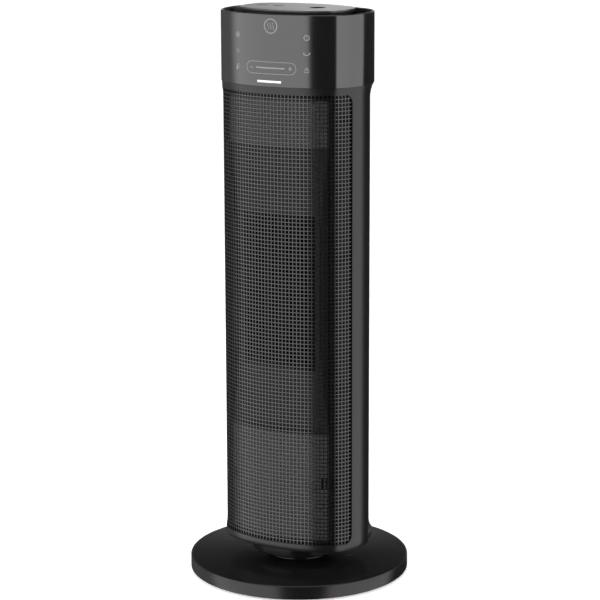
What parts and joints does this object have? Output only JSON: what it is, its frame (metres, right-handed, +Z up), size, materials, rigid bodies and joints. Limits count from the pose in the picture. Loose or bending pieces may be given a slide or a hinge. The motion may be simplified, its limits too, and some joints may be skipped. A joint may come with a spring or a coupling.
{
  "type": "ceramic tower space heater",
  "caption": "Oval tower fan heater on a round swivel base, with a perforated front grille, recessed top lid and rear filter cover.",
  "frame": {"origin": "on the floor under the centre of the round base", "axes": "+Z up along the tower, -Y out of the front grille, +X to the side with the remote-control window"},
  "size_m": [0.256, 0.256, 0.6608],
  "materials": {
    "acetal": "slippery, natural",
    "aluminium_fin": "plain",
    "base_black": "satin moulded, black",
    "black_gloss": "satin to gloss, black",
    "black_shell": "fine matt texture, black",
    "board_green": "lacquered",
    "board_part": "moulded",
    "brass": "plain",
    "button_grey": "satin, grey",
    "deck_grey": "matt, dark grey",
    "eye_dark": "polished, dark",
    "filter_mesh": "woven",
    "grille_black": "powder coated, black",
    "inner_plastic": "moulded, charcoal",
    "lid_grey": "satin, light grey",
    "mica": "pressed",
    "rubber_black": "matt",
    "screw_steel": "bright zinc",
    "steel": "plain",
    "white_plastic": "moulded, off white",
    "wire": "insulation"
  },
  "bodies": {
    "base": {"base_cover": "base_black", "base_bottom_plate": "inner_plastic", "base_ballast": "steel", "base_feet": "rubber_black", "base_screws": "screw_steel", "swivel_post": "acetal", "post_screws": "screw_steel", "slide_ring": "acetal", "swivel_gear": "acetal", "gear_screws": "screw_steel", "tip_switch": "board_part", "tip_spring": "steel"},
    "plunger": {"tip_plunger": "acetal"},
    "pinion": {"drive_pinion": "brass"},
    "wheel": {"blower_wheel": "inner_plastic", "blower_shaft": "steel", "motor_rotor": "steel"},
    "filter": {"filter_cover": "black_shell", "dust_filter": "filter_mesh"},
    "rocker": {"mains_rocker": "black_gloss"},
    "mode_key": {"mode_button": "button_grey"},
    "timer_key": {"timer_button": "button_grey"},
    "tower": {"air_guide": "inner_plastic", "blower_housing": "inner_plastic", "blower_motor": "steel", "blower_screws": "screw_steel", "board_parts": "board_part", "board_screws": "screw_steel", "bottom_cap": "inner_plastic", "button_board": "board_green", "collar_screws": "screw_steel", "control_board": "board_green", "cord_gland": "rubber_black", "display_module": "white_plastic", "front_frame": "black_gloss", "front_grille": "grille_black", "grille_clips": "screw_steel", "head_shell": "black_gloss", "heater_fins": "aluminium_fin", "heater_frame": "mica", "heater_terminals": "brass", "heater_tubes": "aluminium_fin", "housing_screws": "screw_steel", "outlet_guard": "inner_plastic", "power_board": "board_green", "rear_housing": "black_shell", "remote_window": "eye_dark", "rocker_frame": "black_shell", "swivel_collar": "black_shell", "swivel_motor": "steel", "thermal_cutout": "board_part", "top_deck": "deck_grey", "top_lid": "lid_grey", "top_plate": "inner_plastic", "touch_sensor": "white_plastic", "wheel_bush": "rubber_black", "wire_loom": "wire"}
  },
  "joints": [
    {"name": "tower_swivel", "type": "hinge", "parent": "base", "child": "tower", "pos_m": [0, 0, 0.0398], "axis": [0, 0, 1], "range_deg": [-35, 35]},
    {"name": "pinion_spin", "type": "hinge", "parent": "tower", "child": "pinion", "pos_m": [0.04125, 0, 0.047], "axis": [0, 0, 1], "range_deg": [-100, 100]},
    {"name": "blower_spin", "type": "hinge", "parent": "tower", "child": "wheel", "pos_m": [0, 0.018, 0.341], "axis": [0, 0, 1], "continuous": true},
    {"name": "tip_plunger_travel", "type": "slide", "parent": "base", "child": "plunger", "axis": [0, 0, -1], "range_m": [0, 0.004], "stiffness_N_per_m": 20, "springref_m": 0.006, "deforming": ["tip_spring"]},
    {"name": "filter_cover_pull", "type": "slide", "parent": "tower", "child": "filter", "axis": [0, 1, 0], "range_m": [0, 0.06]},
    {"name": "mains_rocker_tilt", "type": "hinge", "parent": "tower", "child": "rocker", "pos_m": [0, 0.0593, 0.1118], "axis": [1, 0, 0], "range_deg": [-20, 0]},
    {"name": "mode_button_press", "type": "slide", "parent": "tower", "child": "mode_key", "axis": [0, 0, -1], "range_m": [0, 0.0012], "stiffness_N_per_m": 600},
    {"name": "timer_button_press", "type": "slide", "parent": "tower", "child": "timer_key", "axis": [0, 0, -1], "range_m": [0, 0.0012], "stiffness_N_per_m": 600}
  ],
  "couplings": [
    {"joint": "pinion_spin", "follows": "tower_swivel", "ratio": 2.6667}
  ]
}
